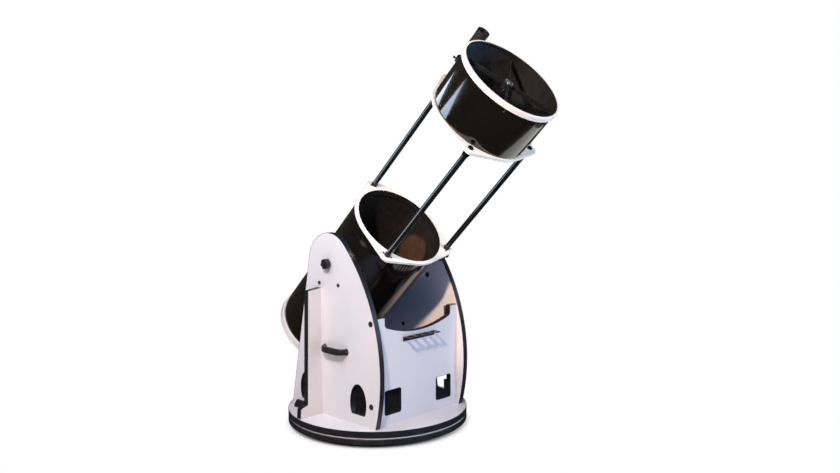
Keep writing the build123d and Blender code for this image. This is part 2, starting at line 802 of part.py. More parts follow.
def secondary_screws():
    """Three tilt screws, the centre bolt, and the washer plate under their heads."""
    low = SPIDER_S - VANE_H / 2 - 16
    face = SPIDER_S + VANE_H / 2 + 2
    plate = disc(HUB_R + 2, face, face + 2) - disc(4.0, face - 1, face + 3)
    pieces = []
    for k in range(3):
        place = polar(TILT_SCREW_PCR, 90 + 120 * k)
        plate -= disc(TILT_SCREW_R, face - 1, face + 3, place)
        pieces.append(disc(TILT_SCREW_R, low, face + 2, place) + disc(3.4, face + 2, face + 5, place))
    pieces.append(plate)
    pieces.append(Pos(0, 0, face + 2) * hex_cap_screw(4.0, VANE_H + 8, 8.0, 5.0))
    return group(pieces)


def focuser_body():
    saddle = Pos(0, 0, (216 + FOCUS_BASE) / 2) * Box(104, 96, FOCUS_BASE - 216)
    saddle = fillet(saddle.edges().filter_by(Axis.Z), 14)
    saddle -= Rot(90, 0, 0) * Cylinder(TUBE_R, 140)
    body = Pos(0, 0, FOCUS_BASE) * extrude(RectangleRounded(76, 76, 16), amount=FOCUS_TOP - FOCUS_BASE - 12)
    body += disc(38, FOCUS_TOP - 12, FOCUS_TOP)
    body = saddle + body
    body += Pos(0, -44, FOCUS_DRUM_Z) * Box(60, 26, 26)
    body -= disc(DRAW_R + RUN_CLEAR, 200, FOCUS_TOP + 1)
    drum = Rot(0, 90, 0) * Cylinder(DRUM_R + RUN_CLEAR, 90)
    return body - Pos(0, -DRAW_R - DRUM_R - RUN_CLEAR, FOCUS_DRUM_Z) * drum


def drawtube():
    body = tube(DRAW_R, DRAW_BORE_R, DRAW_IN, DRAW_OUT)
    collar = tube(34, DRAW_BORE_R, DRAW_OUT, DRAW_OUT + 24)
    collar = chamfer(collar.edges().group_by(Axis.Z)[-1].sort_by(SortBy.LENGTH)[-1:], 1.5)
    tubes = body + collar
    hole = Pos(0, 0, DRAW_OUT + 12) * Rot(0, 90, 0) * disc(2.5 + RUN_CLEAR, 20, 40)
    return tubes - hole


def focus_knobs():
    drum = Rot(0, 90, 0) * Cylinder(DRUM_R, 62)
    shaft = Rot(0, 90, 0) * Cylinder(4, 112)
    knobs = drum + shaft
    for side in (-1, 1):
        grip = tube(19, 3, 0, 17)
        for k in range(24):
            grip -= disc(1.0, -1, 18, polar(19.3, 15 * k))
        knobs += Rot(0, 90 * side, 0) * Pos(0, 0, 44) * grip
    return Pos(0, -DRAW_R - DRUM_R - RUN_CLEAR, FOCUS_DRUM_Z) * knobs


def eyepiece_clamp():
    screw = disc(2.5, 26.0, 38) + lobed_knob(7, 38, 48, 6, 2.0)
    return Pos(0, 0, DRAW_OUT + 12) * Rot(0, 90, 0) * screw


# ---------------------------------------------------------------- finder


def finder_axis():
    place = polar(FINDER_PCR, FINDER_ANGLE)
    return Pos(place[0], place[1], 0) * Rot(0, 0, FINDER_ANGLE)


def finder_tube():
    end = FINDER_END
    body = disc(FINDER_HOOD_R, end - FINDER_HOOD, end - 14) + disc(FINDER_HOOD_R + 0.8, end - 14, end)
    body += disc(FINDER_R, end - 182, end - FINDER_HOOD + 2)
    body += Pos(0, 0, end - 192) * Cone(16, FINDER_R, 20)
    body += disc(16, end - 212, end - 200)
    bore = disc(26, end - FINDER_HOOD + 4, end + 1) + disc(20.5, end - 180, end - FINDER_HOOD + 5)
    bore += disc(12.05, end - 220, end - 170)
    return body - bore


def finder_lens():
    return disc(26, FINDER_END - 30, FINDER_END - 22)


def finder_eyepiece():
    end = FINDER_END - 212
    body = disc(12.0, end - 6, end + 26) + disc(17, end - 30, end - 1)
    body = body - disc(9, end - 40, end + 40)
    return chamfer(body.edges().group_by(Axis.Z)[0].sort_by(SortBy.LENGTH)[-1:], 2.0)


def finder_bracket():
    gap = FINDER_PCR - TUBE_R
    shoe = Pos(-gap + 3, 0, 0) * Box(18, 34, 56)
    ring = tube(33, 29, -11, 11)
    neck = Pos(-32.5, 0, 0) * Box(8, 24, 22)
    seat = Pos(-(29.6 + FINDER_R) / 2, 0, 0) * Box(29.6 - FINDER_R, 8, 16)
    bracket = shoe + ring + neck + (seat - disc(FINDER_R, -20, 20))
    bracket -= Pos(-FINDER_PCR, 0, 0) * Cylinder(TUBE_R, 200)
    for angle in (55, -55):
        bracket -= Rot(0, 0, angle) * Rot(0, 90, 0) * disc(2.5 + RUN_CLEAR, 20, 40)
    return bracket


def finder_screw(angle):
    screw = disc(2.5, FINDER_R + 0.1, 38) + lobed_knob(5.5, 38, 46, 6, 1.8)
    return Rot(0, 0, angle) * Rot(0, 90, 0) * screw


# ---------------------------------------------------------------- assembly

save("ground_board", ground_board())
save("ground_feet", ground_feet())
save("azimuth_bolt", group([azimuth_bolt(), azimuth_nut()]))
save("bearing_track", bearing_track())

save("rocker_base_board", base_board())
save("azimuth_pads", azimuth_pads())
right_board, left_board = both_sides(side_board())
save("side_board_right", right_board)
save("side_board_left", left_board)
save("front_board", front_board())
right_rib, left_rib = both_sides(rib())
save("rib_right", right_rib)
save("rib_left", left_rib)
bands = [base_edge(), front_edge(), *both_sides(side_edge()), *both_sides(rib_band())]
save("board_edges", group(bands))
save("cover_caps", cover_caps())
save("corner_blocks", corner_blocks())
right_cradle, left_cradle = both_sides(cradle())
save("cradle_right", right_cradle)
save("cradle_left", left_cradle)
save("cradle_pads", cradle_pads())
save("rocker_screws", rocker_screws())
right_handle, left_handle = both_sides(carry_handle())
save("handle_right", right_handle)
save("handle_left", left_handle)
save("eyepiece_rack", eyepiece_rack())

save("lower_tube", lower_tube(), OTA)
save("rear_ring", rear_ring(), OTA)
save("lower_truss_ring", lower_truss_ring(), OTA)
right_trunnion, left_trunnion = both_sides(trunnion())
save("trunnion_right", right_trunnion, OTA)
save("trunnion_left", left_trunnion, OTA)
save("rod_guides", rod_guides(), OTA)
save("ring_screws", ring_screws(), OTA)
save("mirror_cell", mirror_cell(), OTA)
save("mirror_plate", mirror_plate(), OTA)
save("primary_mirror", primary_mirror(), OTA)
save("mirror_clips", mirror_clips(), OTA)
save("collimation_springs", collimation_springs(), OTA)
for name, angle in zip("abc", COLLIM_ANGLES):
    save(f"collimation_knob_{name}", collimation_knob(angle), OTA)
for name, angle in zip("abc", ROD_ANGLES):
    save(f"rod_lock_knob_{name}", rod_lock_knob(angle), OTA)
right_knob, left_knob = both_sides(tension_knob())
save("tension_knob_right", right_knob, OTA)
save("tension_knob_left", left_knob, OTA)

save("truss_rods", truss_rods(), OTA)
save("rod_collars", rod_collars(), OTA)
save("upper_truss_ring", upper_truss_ring(), OTA)
save("cage_tube", cage_tube(), OTA)
save("top_ring", top_ring(), OTA)
save("spider", spider(), OTA)
save("cage_screws", group([cage_screws(), secondary_screws()]), OTA)
in_focuser = focuser_plane().location
save("secondary_holder", in_focuser * secondary_holder(), OTA)
save("secondary_mirror", in_focuser * secondary_mirror(), OTA)
save("focuser_body", in_focuser * focuser_body(), OTA)
save("drawtube", in_focuser * drawtube(), OTA)
save("focus_knobs", in_focuser * focus_knobs(), OTA)
save("eyepiece_clamp", in_focuser * eyepiece_clamp(), OTA)

save("finder_tube", finder_axis() * finder_tube(), OTA)
save("finder_lens", finder_axis() * finder_lens(), OTA)
save("finder_eyepiece", finder_axis() * finder_eyepiece(), OTA)
at_shoe = finder_axis() * Pos(0, 0, FINDER_SHOE_S)
save("finder_bracket", at_shoe * finder_bracket(), OTA)
save("finder_screw_a", at_shoe * finder_screw(55), OTA)
save("finder_screw_b", at_shoe * finder_screw(-55), OTA)
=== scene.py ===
"""Looks of a large collapsible dobsonian telescope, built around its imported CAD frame."""

import json
import math

import bmesh
import bpy
from mathutils import Matrix, Vector

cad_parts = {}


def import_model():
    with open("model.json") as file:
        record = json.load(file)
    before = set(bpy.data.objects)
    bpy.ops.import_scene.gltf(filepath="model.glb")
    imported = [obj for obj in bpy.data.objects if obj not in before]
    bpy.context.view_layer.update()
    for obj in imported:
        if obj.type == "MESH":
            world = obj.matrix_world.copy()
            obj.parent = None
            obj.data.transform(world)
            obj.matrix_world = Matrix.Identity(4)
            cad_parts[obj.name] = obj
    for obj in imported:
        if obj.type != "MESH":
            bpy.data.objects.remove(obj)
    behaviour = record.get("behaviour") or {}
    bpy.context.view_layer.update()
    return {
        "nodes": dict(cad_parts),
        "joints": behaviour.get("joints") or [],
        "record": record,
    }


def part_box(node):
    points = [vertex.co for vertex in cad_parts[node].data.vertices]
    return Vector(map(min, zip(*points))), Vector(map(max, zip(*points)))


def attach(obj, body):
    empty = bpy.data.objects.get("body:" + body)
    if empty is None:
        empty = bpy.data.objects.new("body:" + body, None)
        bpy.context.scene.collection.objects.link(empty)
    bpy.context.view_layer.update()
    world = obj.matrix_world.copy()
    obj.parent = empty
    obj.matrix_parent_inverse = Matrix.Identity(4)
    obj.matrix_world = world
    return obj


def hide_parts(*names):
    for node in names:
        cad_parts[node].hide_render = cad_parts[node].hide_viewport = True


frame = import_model()

# ------------------------------------------------------------ geometry of the frame

def joint(name):
    return next(j for j in frame["joints"] if j["name"] == name)


def along_tube(node):
    """How far a node reaches along the optical axis from the altitude pivot: lowest, highest."""
    reach = [(vertex.co - PIVOT).dot(AXIS_U) for vertex in frame["nodes"][node].data.vertices]
    return min(reach), max(reach)


PIVOT = Vector(joint("altitude_tilt")["pos_m"])
AXIS_U = Vector(joint("truss_collapse")["axis"])
AXIS_E1 = Vector((1.0, 0.0, 0.0))
AXIS_E2 = AXIS_U.cross(AXIS_E1)
TILT = math.asin(AXIS_U.z)
TUBE_FRAME = Matrix((
    (AXIS_E1.x, AXIS_E2.x, AXIS_U.x, PIVOT.x),
    (AXIS_E1.y, AXIS_E2.y, AXIS_U.y, PIVOT.y),
    (AXIS_E1.z, AXIS_E2.z, AXIS_U.z, PIVOT.z),
    (0, 0, 0, 1),
))
TO_TUBE = TUBE_FRAME.inverted()
BOARD_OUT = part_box("side_board_right")[1].x
TUBE_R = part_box("lower_tube")[1].x

# where the looks change: the painted shade in the box, the two tubes and the openings of the rings
BOX_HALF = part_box("side_board_right")[0].x + 0.0003
BOX_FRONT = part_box("front_board")[1].y - 0.0003
BOX_REAR = 0.31
BOX_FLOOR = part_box("rocker_base_board")[1].z + 0.0005
# painted shade inside the rocker box: how far its floor and its lower walls are darkened
FLOOR_SHADE = 0.97
WALL_SHADE = 0.7
WALL_SHADE_HEIGHTS = (0.40, 0.12)
CAGE_FROM = 0.8
TOP_RING_FROM = 1.1
LOWER_OPENING_R = 0.2204
UPPER_OPENING_R = 0.2262


# ------------------------------------------------------------ shader helper

class Shader:
    """A Principled material put together from noise, ramps and bumps."""

    def __init__(self, name, **inputs):
        self.mat = bpy.data.materials.new(name)
        self.mat.use_nodes = True
        self.tree = self.mat.node_tree
        self.tree.nodes.clear()
        self.bsdf = self.node("ShaderNodeBsdfPrincipled")
        output = self.node("ShaderNodeOutputMaterial")
        self.tree.links.new(self.bsdf.outputs[0], output.inputs[0])
        self.coord = self.node("ShaderNodeTexCoord").outputs["Object"]
        self.normal = None
        for key, value in inputs.items():
            self.put(self.bsdf.inputs[key.replace("_", " ")], value)

    def node(self, kind, **settings):
        made = self.tree.nodes.new(kind)
        for key, value in settings.items():
            setattr(made, key, value)
        return made

    def put(self, socket, value):
        if isinstance(value, bpy.types.NodeSocket):
            self.tree.links.new(value, socket)
        elif isinstance(value, (tuple, list)) and len(value) == 3 and socket.type == "RGBA":
            socket.default_value = (*value, 1.0)
        else:
            socket.default_value = value

    def set(self, **inputs):
        for key, value in inputs.items():
            self.put(self.bsdf.inputs[key.replace("_", " ")], value)

    def noise(self, scale, detail=3.0, rough=0.5, stretch=None, vector=None):
        vector = vector or self.coord
        if stretch:
            mapping = self.node("ShaderNodeMapping")
            self.put(mapping.inputs["Vector"], vector)
            mapping.inputs["Scale"].default_value = stretch
            vector = mapping.outputs[0]
        made = self.node("ShaderNodeTexNoise")
        self.put(made.inputs["Vector"], vector)
        self.put(made.inputs["Scale"], scale)
        self.put(made.inputs["Detail"], detail)
        self.put(made.inputs["Roughness"], rough)
        return made.outputs["Fac"]

    def cells(self, scale, feature="F1", output="Distance"):
        made = self.node("ShaderNodeTexVoronoi", feature=feature)
        self.put(made.inputs["Vector"], self.coord)
        self.put(made.inputs["Scale"], scale)
        return made.outputs[output]

    def span(self, value, low, high, to_low=0.0, to_high=1.0):
        made = self.node("ShaderNodeMapRange", clamp=True)
        self.put(made.inputs["Value"], value)
        self.put(made.inputs["From Min"], low)
        self.put(made.inputs["From Max"], high)
        self.put(made.inputs["To Min"], to_low)
        self.put(made.inputs["To Max"], to_high)
        return made.outputs[0]

    def split(self, vector):
        made = self.node("ShaderNodeSeparateXYZ")
        self.put(made.inputs[0], vector)
        return list(made.outputs)

    def math(self, operation, a, b=0.0):
        made = self.node("ShaderNodeMath", operation=operation)
        self.put(made.inputs[0], a)
        self.put(made.inputs[1], b)
        return made.outputs[0]

    def mix(self, factor, a, b):
        made = self.node("ShaderNodeMix", data_type="RGBA")
        self.put(made.inputs["Factor"], factor)
        self.put(made.inputs[6], a)
        self.put(made.inputs[7], b)
        return made.outputs[2]

    def edges(self, radius=0.0012, gain=6.0):
        """Bright where two faces meet, and the softened normal for the bump chain."""
        bevel = self.node("ShaderNodeBevel", samples=4)
        bevel.inputs["Radius"].default_value = radius
        flat = self.node("ShaderNodeNewGeometry").outputs["Normal"]
        dot = self.node("ShaderNodeVectorMath", operation="DOT_PRODUCT")
        self.put(dot.inputs[0], bevel.outputs[0])
        self.put(dot.inputs[1], flat)
        self.normal = bevel.outputs[0]
        worn = self.math("SUBTRACT", 1.0, dot.outputs["Value"])
        return self.math("MINIMUM", self.math("MULTIPLY", worn, gain), 1.0)

    def bump(self, height, strength, distance=0.001):
        made = self.node("ShaderNodeBump")
        self.put(made.inputs["Height"], height)
        self.put(made.inputs["Strength"], strength)
        self.put(made.inputs["Distance"], distance)
        if self.normal is not None:
            self.put(made.inputs["Normal"], self.normal)
        self.normal = made.outputs[0]

    def done(self):
        if self.normal is not None:
            self.put(self.bsdf.inputs["Normal"], self.normal)
        return self.mat


def tube_coordinates(shader):
    """Object coordinates turned so that Z runs along the optical axis from the pivot."""
    shift = shader.node("ShaderNodeVectorMath", operation="SUBTRACT")
    shader.put(shift.inputs[0], shader.coord)
    shift.inputs[1].default_value = PIVOT
    turn = shader.node("ShaderNodeMapping")
    shader.put(turn.inputs["Vector"], shift.outputs[0])
    turn.inputs["Rotation"].default_value = (TILT - math.pi / 2, 0, 0)
    return turn.outputs[0]


def distance_from_axis(shader, vector):
    squares = [shader.math("MULTIPLY", axis, axis) for axis in shader.split(vector)[:2]]
    return shader.math("SQRT", shader.math("ADD", *squares))


# ------------------------------------------------------------ materials

def painted_box_shade(shader):
    """Painted shade inside the rocker box: its floor darkened wholly, its walls more the lower they go."""
    x, y, z = shader.split(shader.coord)
    within = shader.math("LESS_THAN", shader.math("ABSOLUTE", x), BOX_HALF)
    within = shader.math("MULTIPLY", within, shader.math("GREATER_THAN", y, BOX_FRONT))
    within = shader.math("MULTIPLY", within, shader.math("LESS_THAN", y, BOX_REAR))
    low = shader.math("MULTIPLY", shader.math("LESS_THAN", z, BOX_FLOOR), FLOOR_SHADE)
    wall = shader.span(z, *WALL_SHADE_HEIGHTS, 0.0, WALL_SHADE)
    return shader.math("MULTIPLY", within, shader.math("MAXIMUM", low, wall))


def melamine(name, light, shade):
    s = Shader(name)
    worn = s.edges(0.0010, 5.0)
    cloud = s.noise(2.6, 4.0, 0.55)
    print_grain = s.noise(420.0, 2.0)
    colour = s.mix(s.span(cloud, 0.35, 0.68), light, shade)
    colour = s.mix(s.span(print_grain, 0.3, 0.8, 0.0, 0.05), colour, (0.60, 0.58, 0.60))
    scuff = s.noise(34.0, 6.0, 0.7)
    marks = s.math("MULTIPLY", s.span(scuff, 0.66, 0.74), 0.10)
    colour = s.mix(marks, colour, (0.55, 0.52, 0.50))
    rim = s.math("MULTIPLY", worn, s.span(s.noise(60.0, 4.0), 0.4, 0.7, 0.15, 0.6))
    colour = s.mix(rim, colour, (0.62, 0.58, 0.55))
    # painted shade: inside the rocker box the boards darken towards near black
    s.set(Base_Color=s.mix(painted_box_shade(s), colour, (0.020, 0.020, 0.022)))
    s.set(Roughness=s.span(s.noise(11.0, 5.0, 0.6), 0.3, 0.7, 0.30, 0.46))
    s.set(Specular_IOR_Level=0.45)
    s.bump(s.noise(900.0, 2.0), 0.10, 0.0002)
    s.bump(s.noise(70.0, 3.0), 0.03, 0.0006)
    return s.done()


def black_board():
    s = Shader("black_melamine")
    worn = s.edges(0.0018, 4.0)
    colour = s.mix(s.span(s.noise(24.0, 5.0, 0.6), 0.3, 0.7), (0.010, 0.010, 0.012), (0.022, 0.022, 0.025))
    rim = s.math("MULTIPLY", worn, s.span(s.noise(90.0, 5.0), 0.45, 0.7, 0.1, 0.8))
    s.set(Base_Color=s.mix(rim, colour, (0.16, 0.15, 0.14)))
    s.set(Roughness=s.span(s.noise(40.0, 4.0), 0.3, 0.7, 0.34, 0.52))
    s.bump(s.noise(1200.0, 2.0), 0.25, 0.0003)
    return s.done()


def edge_band():
    s = Shader("edge_band")
    worn = s.edges(0.0012, 6.0)
    colour = s.mix(s.span(s.noise(16.0, 5.0, 0.65), 0.3, 0.7), (0.008, 0.009, 0.013), (0.020, 0.022, 0.030))
    rim = s.math("MULTIPLY", worn, s.span(s.noise(120.0, 5.0), 0.4, 0.72, 0.05, 0.55))
    s.set(Base_Color=s.mix(rim, colour, (0.20, 0.20, 0.21)))
    s.set(Roughness=s.span(s.noise(28.0, 5.0), 0.3, 0.7, 0.24, 0.42))
    s.bump(s.noise(700.0, 3.0), 0.18, 0.0003)
    s.bump(s.noise(26.0, 3.0), 0.06, 0.0008)
    return s.done()


def moulded_plastic(name, dark, light, grain=1500.0, rough=(0.36, 0.55)):
    s = Shader(name)
    worn = s.edges(0.0010, 5.0)
    colour = s.mix(s.span(s.noise(30.0, 4.0), 0.3, 0.7), dark, light)
    rim = s.math("MULTIPLY", worn, s.span(s.noise(150.0, 5.0), 0.45, 0.7, 0.1, 0.6))
    paler = tuple(min(1.0, c * 3.0 + 0.05) for c in light)
    s.set(Base_Color=s.mix(rim, colour, paler))
    s.set(Roughness=s.span(s.noise(60.0, 4.0), 0.3, 0.7, *rough))
    s.bump(s.cells(grain), 0.22, 0.0003)
    s.bump(s.noise(grain * 0.5, 3.0), 0.15, 0.0003)
    return s.done()


def tube_enamel():
    """Gloss black with a fine flake outside, dull brown-black flocking paint inside."""
    s = Shader("tube_black")
    along = tube_coordinates(s)
    radius = distance_from_axis(s, along)
    outside = s.math("GREATER_THAN", radius, TUBE_R - 0.0010)
    worn = s.edges(0.0008, 5.0)
    body = s.mix(s.span(s.noise(5.0, 3.0), 0.3, 0.7), (0.0030, 0.0026, 0.0020), (0.0085, 0.0058, 0.0038))
    flake = s.span(s.cells(1100.0, output="Color"), 0.86, 0.97)
    body = s.mix(s.math("MULTIPLY", flake, 0.26), body, (0.11, 0.072, 0.045))
    dust = s.span(s.noise(260.0, 5.0, 0.7), 0.66, 0.80, 0.0, 0.05)
    body = s.mix(dust, body, (0.22, 0.19, 0.17))
    lining = s.mix(s.span(s.noise(9.0, 5.0, 0.6), 0.3, 0.72), (0.008, 0.0065, 0.006), (0.026, 0.018, 0.014))
    in_cage = s.math("GREATER_THAN", s.split(along)[2], CAGE_FROM)
    lining = s.mix(s.math("MULTIPLY", in_cage, 0.62), lining, (0.0, 0.0, 0.0))
    rim = s.math("MULTIPLY", worn, 0.35)
    colour = s.mix(outside, lining, body)
    s.set(Base_Color=s.mix(rim, colour, (0.30, 0.29, 0.28)))
    gloss = s.span(s.noise(14.0, 5.0, 0.6), 0.3, 0.7, 0.10, 0.20)
    dull = s.span(s.noise(40.0, 4.0), 0.3, 0.7, 0.55, 0.80)
    swap = s.node("ShaderNodeMix", data_type="FLOAT")
    s.put(swap.inputs["Factor"], outside)
    s.put(swap.inputs[2], dull)
    s.put(swap.inputs[3], gloss)
    s.set(Roughness=swap.outputs[0])
    s.set(Coat_Weight=outside, Coat_Roughness=0.035)
    s.bump(s.noise(1400.0, 2.0), 0.04, 0.0002)
    s.bump(s.noise(3.0, 2.0), 0.05, 0.002)
    return s.done()


def powder_coat():
    """White coat; the inner face of each ring is matt black against stray light."""
    s = Shader("ring_white")
    worn = s.edges(0.0014, 5.0)
    along = tube_coordinates(s)
    radius = distance_from_axis(s, along)
    far_ring = s.math("GREATER_THAN", s.split(along)[2], TOP_RING_FROM)
    opening = s.math("ADD", LOWER_OPENING_R, s.math("MULTIPLY", far_ring, UPPER_OPENING_R - LOWER_OPENING_R))
    inside = s.math("LESS_THAN", radius, opening)
    colour = s.mix(s.span(s.noise(7.0, 4.0), 0.3, 0.7), (0.86, 0.85, 0.84), (0.79, 0.78, 0.78))
    speck = s.span(s.noise(170.0, 6.0, 0.7), 0.72, 0.82, 0.0, 0.12)
    colour = s.mix(speck, colour, (0.42, 0.40, 0.38))
    rim = s.math("MULTIPLY", worn, s.span(s.noise(75.0, 5.0), 0.5, 0.72, 0.0, 0.22))
    colour = s.mix(rim, colour, (0.55, 0.54, 0.53))
    s.set(Base_Color=s.mix(inside, colour, (0.014, 0.013, 0.013)))
    s.set(Roughness=s.span(s.noise(22.0, 4.0), 0.3, 0.7, 0.30, 0.46))
    s.bump(s.noise(620.0, 2.0), 0.12, 0.0002)
    return s.done()


def rod_enamel():
    """Gloss black with faint rubbing marks that run along the rod."""
    s = Shader("rod_black")
    along = tube_coordinates(s)
    colour = s.mix(s.span(s.noise(12.0, 4.0), 0.3, 0.7), (0.005, 0.005, 0.007), (0.011, 0.011, 0.013))
    rub = s.noise(60.0, 4.0, 0.6, (1.0, 1.0, 0.02), along)
    s.set(Base_Color=s.mix(s.span(rub, 0.60, 0.74, 0.0, 0.12), colour, (0.04, 0.04, 0.045)))
    s.set(Roughness=s.span(rub, 0.35, 0.7, 0.16, 0.22))
    s.set(Coat_Weight=0.5, Coat_Roughness=0.08)
    return s.done()


def metal(name, dark, light, rough, grain=300.0, metallic=1.0, edge=(0.75, 0.75, 0.75), edge_gain=0.5):
    s = Shader(name, Metallic=metallic)
    worn = s.edges(0.0010, 5.0)
    colour = s.mix(s.span(s.noise(18.0, 5.0, 0.6), 0.3, 0.7), dark, light)
    rim = s.math("MULTIPLY", worn, s.span(s.noise(140.0, 5.0), 0.4, 0.7, 0.1, edge_gain))
    s.set(Base_Color=s.mix(rim, colour, edge))
    s.set(Roughness=s.span(s.noise(70.0, 5.0, 0.65), 0.3, 0.7, *rough))
    s.bump(s.noise(grain, 4.0, 0.6), 0.12, 0.0002)
    return s.done()


def painted_steel():
    s = Shader("black_steel")
    worn = s.edges(0.0010, 5.0)
    colour = s.mix(s.span(s.noise(20.0, 5.0), 0.3, 0.7), (0.010, 0.010, 0.011), (0.024, 0.023, 0.024))
    rim = s.math("MULTIPLY", worn, s.span(s.noise(130.0, 5.0), 0.45, 0.72, 0.05, 0.7))
    s.set(Base_Color=s.mix(rim, colour, (0.26, 0.25, 0.24)))
    s.set(Roughness=s.span(s.noise(45.0, 4.0), 0.3, 0.7, 0.30, 0.46))
    s.bump(s.noise(800.0, 3.0), 0.2, 0.0003)
    return s.done()


def mirror_coat():
    s = Shader("mirror_glass", Metallic=1.0)
    s.edges(0.0010, 5.0)
    haze = s.noise(30.0, 6.0, 0.7)
    s.set(Base_Color=s.mix(s.span(haze, 0.45, 0.75, 0.0, 0.5), (0.90, 0.91, 0.93), (0.78, 0.77, 0.76)))
    dust = s.span(s.noise(900.0, 3.0), 0.62, 0.75)
    s.set(Roughness=s.math("ADD", s.span(haze, 0.3, 0.8, 0.015, 0.06), s.math("MULTIPLY", dust, 0.12)))
    return s.done()


def coated_lens():
    s = Shader("lens_glass", IOR=1.52, Coat_Weight=1.0)
    facing = s.node("ShaderNodeLayerWeight").outputs["Facing"]
    smear = s.span(s.noise(60.0, 5.0, 0.7), 0.4, 0.8, 0.0, 0.15)
    tint = s.mix(facing, (0.05, 0.03, 0.11), (0.03, 0.10, 0.12))
    s.set(Base_Color=s.mix(smear, tint, (0.2, 0.2, 0.22)))
    s.set(Roughness=s.span(s.noise(80.0, 4.0), 0.3, 0.8, 0.02, 0.08))
    s.set(Coat_Tint=(0.65, 0.60, 1.0))
    return s.done()


MATERIALS = {
    "white_melamine": melamine("white_melamine", (0.80, 0.79, 0.81), (0.74, 0.73, 0.75)),
    "black_melamine": black_board(),
    "edge_band": edge_band(),
    "black_rubber": moulded_plastic(
        "black_rubber", (0.012, 0.012, 0.012), (0.026, 0.025, 0.024), 900.0, (0.65, 0.85)),
    "black_steel": painted_steel(),
    "zinc_steel": metal("zinc_steel", (0.48, 0.48, 0.50), (0.64, 0.63, 0.62), (0.22, 0.38)),
    "white_plastic": moulded_plastic(
        "white_plastic", (0.74, 0.74, 0.72), (0.82, 0.81, 0.78), 700.0, (0.35, 0.5)),
    "ptfe": moulded_plastic("ptfe", (0.76, 0.74, 0.69), (0.84, 0.82, 0.78), 500.0, (0.3, 0.45)),
    "black_plastic": moulded_plastic("black_plastic", (0.010, 0.010, 0.012), (0.022, 0.021, 0.023)),
    "tube_black": tube_enamel(),
    "ring_white": powder_coat(),
    "rod_black": rod_enamel(),
    "anodised_black": metal(
        "anodised_black", (0.018, 0.018, 0.021), (0.035, 0.034, 0.036), (0.26, 0.42),
        500.0, 0.8, (0.35, 0.35, 0.36), 0.6),
    "cast_aluminium": metal("cast_aluminium", (0.40, 0.40, 0.40), (0.54, 0.53, 0.52), (0.42, 0.6), 220.0),
    "mirror_glass": mirror_coat(),
    "lens_glass": coated_lens(),
    "spring_steel": metal("spring_steel", (0.52, 0.51, 0.50), (0.68, 0.67, 0.66), (0.18, 0.3), 600.0),
}

for part in frame["record"]["subparts"]:
    obj = frame["nodes"][part["node"]]
    obj.data.materials.clear()
    obj.data.materials.append(MATERIALS[part["material_slot"]])


# ------------------------------------------------------------ mesh builders

def add_mesh(name, verts, faces, slot, body, smooth=True):
    mesh = bpy.data.meshes.new(name)
    mesh.from_pydata([tuple(v) for v in verts], [], faces)
    mesh.validate()
    work = bmesh.new()
    work.from_mesh(mesh)
    bmesh.ops.recalc_face_normals(work, faces=work.faces)
    work.to_mesh(mesh)
    work.free()
    for polygon in mesh.polygons:
        polygon.use_smooth = smooth
    made = bpy.data.objects.new(name, mesh)
    bpy.context.scene.collection.objects.link(made)
    made.data.materials.append(MATERIALS[slot])
    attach(made, body)
    return made


def lathe(profile, steps=48):
    """A (radius, height) outline turned about Z; a radius of 0 closes an end."""
    verts, faces, rings = [], [], []
    for radius, height in profile:
        if radius == 0:
            rings.append([len(verts)] * steps)
            verts.append(Vector((0, 0, height)))
            continue
        first = len(verts)
        rings.append([first + k for k in range(steps)])
        for k in range(steps):
            turn = 2 * math.pi * k / steps
            verts.append(Vector((radius * math.cos(turn), radius * math.sin(turn), height)))
    for low, high in zip(rings, rings[1:]):
        for k in range(steps):
            face = [low[k], low[(k + 1) % steps], high[(k + 1) % steps], high[k]]
            unique = [v for n, v in enumerate(face) if v not in face[:n]]
            if len(unique) > 2:
                faces.append(tuple(unique))
    return verts, faces


def hoop(outer, inner, half_height, steps=64, ridges=0, depth=0.0, round_off=0.0):
    """A closed band about Z and across Z = 0; ridges stand out of its outer wall."""
    low, high = -half_height, half_height
    r = round_off
    wall = [(outer, low), (outer, high)]
    if r:
        wall = [(outer - r, low), (outer, low + r), (outer, high - r), (outer - r, high)]
    profile = [(inner, low), *wall, (inner, high)]
    verts, faces = [], []
    for radius, height in profile:
        for k in range(steps):
            turn = 2 * math.pi * k / steps
            raised = ridges and radius == outer and (2 * ridges * k // steps) % 2
            reach = radius + (depth if raised else 0.0)
            verts.append(Vector((reach * math.cos(turn), reach * math.sin(turn), height)))
    count = len(profile)
    for ring in range(count):
        for k in range(steps):
            a, b = ring * steps + k, ring * steps + (k + 1) % steps
            c, d = (ring + 1) % count * steps + (k + 1) % steps, (ring + 1) % count * steps + k
            faces.append((a, b, c, d))
    return verts, faces


def torus(major, minor, height, steps=48, around=10):
    verts, faces = [], []
    for k in range(steps):
        turn = 2 * math.pi * k / steps
        for n in range(around):
            roll = 2 * math.pi * n / around
            reach = major + minor * math.cos(roll)
            rise = height + minor * math.sin(roll)
            verts.append(Vector((reach * math.cos(turn), reach * math.sin(turn), rise)))
    for k in range(steps):
        for n in range(around):
            a, b = k * around + n, k * around + (n + 1) % around
            c, d = (k + 1) % steps * around + (n + 1) % around, (k + 1) % steps * around + n
            faces.append((a, b, c, d))
    return verts, faces


def dome(radius, height, steps=20):
    """A low round rivet or button head standing on Z = 0."""
    profile = [(0, -0.0004), (radius, -0.0004), (radius, height * 0.25)]
    for k in range(1, 5):
        turn = math.pi / 2 * k / 5
        profile.append((radius * math.cos(turn), height * (0.25 + 0.75 * math.sin(turn))))
    profile.append((0, height))
    return lathe(profile, steps)


def socket_head(radius, height, steps=24):
    """A button head with a socket in its face."""
    hole = radius * 0.42
    profile = [(0, -0.0004), (radius, -0.0004), (radius, height * 0.45), (radius * 0.86, height * 0.85),
               (radius * 0.62, height), (hole, height), (hole, height * 0.35), (0, height * 0.35)]
    return lathe(profile, steps)


